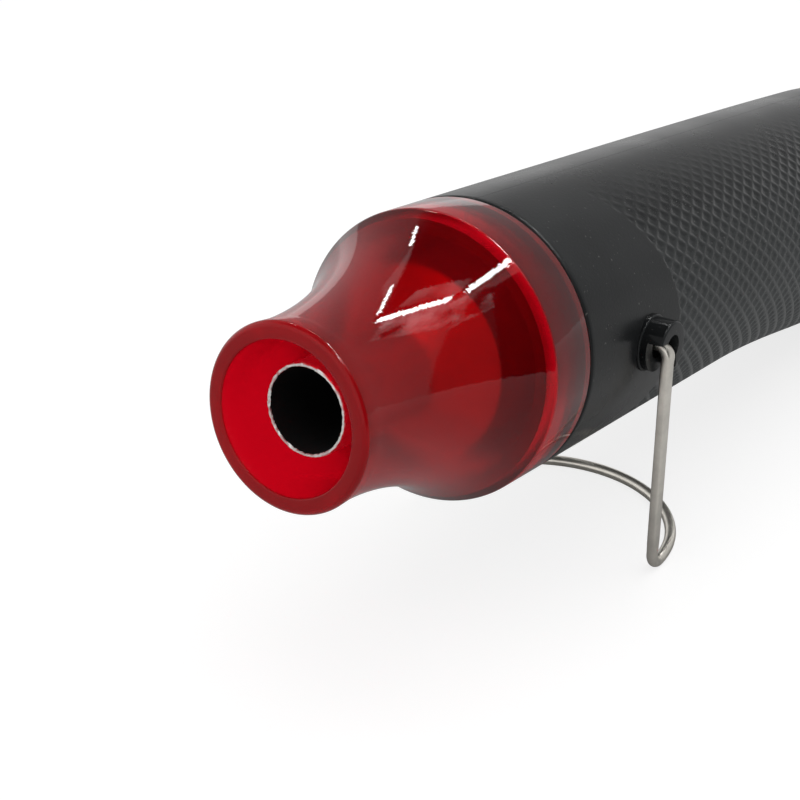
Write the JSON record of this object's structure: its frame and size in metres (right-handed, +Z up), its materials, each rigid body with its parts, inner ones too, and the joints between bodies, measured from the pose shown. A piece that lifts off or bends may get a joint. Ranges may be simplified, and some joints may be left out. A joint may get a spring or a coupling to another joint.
{
  "type": "hot air tool",
  "caption": "Small hot air tool for craft work, with a clear red bell nozzle, black bent handle, rocker switch and folding wire stand.",
  "frame": {"origin": "on the table under the middle of the tool's box, as it stands on its wire stand and its heel", "axes": "+X towards the nozzle, +Y to the tool's left, +Z up; the barrel's axis rises 6 degrees towards the nozzle"},
  "size_m": [0.2332, 0.0542, 0.0706],
  "materials": {
    "nozzle_cover": "clear deep red heat-proof plastic, polished",
    "casing": "satin black plastic with a moulded diamond grip",
    "outlet_steel": "thin drawn stainless steel, cut edge",
    "stand_wire": "plain drawn steel wire, bent and pressed",
    "mica": "pressed mica sheet",
    "ceramic": "matt ceramic",
    "heating_wire": "oxidised resistance wire",
    "fuse_steel": "plated can",
    "duct": "dark brown heat-proof moulding",
    "fan_plastic": "black moulded plastic",
    "motor_steel": "plated steel",
    "magnet": "sintered magnet",
    "copper": "enamelled copper windings",
    "board": "green circuit board",
    "black_parts": "black moulded components",
    "lead": "insulated leads",
    "switch_black": "black moulded switch frame",
    "switch_red": "red moulded rocker",
    "brass_tab": "stamped tab",
    "rubber_bush": "soft black bush",
    "screw_steel": "plated cross-head screw"
  },
  "bodies": {
    "casing": {"nozzle_cover": "nozzle_cover", "left_shell": "casing", "right_shell": "casing", "rear_cap": "casing", "outlet_tube": "outlet_steel", "mica_sleeve": "mica", "mica_former": "mica", "heater_disc": "ceramic", "front_ring": "ceramic", "heater_coil": "heating_wire", "thermal_fuse": "fuse_steel", "air_guide": "duct", "motor_mount": "duct", "motor_end_cap": "duct", "motor_can": "motor_steel", "motor_magnet": "magnet", "power_board": "board", "capacitor": "black_parts", "diode_1": "black_parts", "diode_2": "black_parts", "diode_3": "black_parts", "diode_4": "black_parts", "motor_lead_1": "lead", "motor_lead_2": "lead", "switch_lead_1": "lead", "switch_lead_2": "lead", "switch_body": "switch_black", "switch_tab_1": "brass_tab", "switch_tab_2": "brass_tab", "cord_inlet_bush": "rubber_bush", "case_screw_1": "screw_steel", "case_screw_2": "screw_steel", "case_screw_3": "screw_steel", "case_screw_4": "screw_steel", "case_screw_5": "screw_steel"},
    "stand": {"wire_stand": "stand_wire"},
    "rocker": {"switch_rocker": "switch_red"},
    "fan_rotor": {"fan": "fan_plastic", "motor_shaft": "motor_steel", "motor_armature": "copper"}
  },
  "joints": [
    {"name": "stand_fold", "type": "hinge", "parent": "casing", "child": "stand", "pos_m": [0.05154, 0, 0.04542], "axis": [0, -1, 0], "range_deg": [0, 103.5]},
    {"name": "switch_rock", "type": "hinge", "parent": "casing", "child": "rocker", "pos_m": [-0.08996, 0, 0.04947], "axis": [0, 1, 0], "range_deg": [0, 16]},
    {"name": "fan_spin", "type": "hinge", "parent": "casing", "child": "fan_rotor", "pos_m": [-0.0022, 0, 0.03916], "axis": [0.9945, 0, 0.1045], "continuous": true}
  ]
}
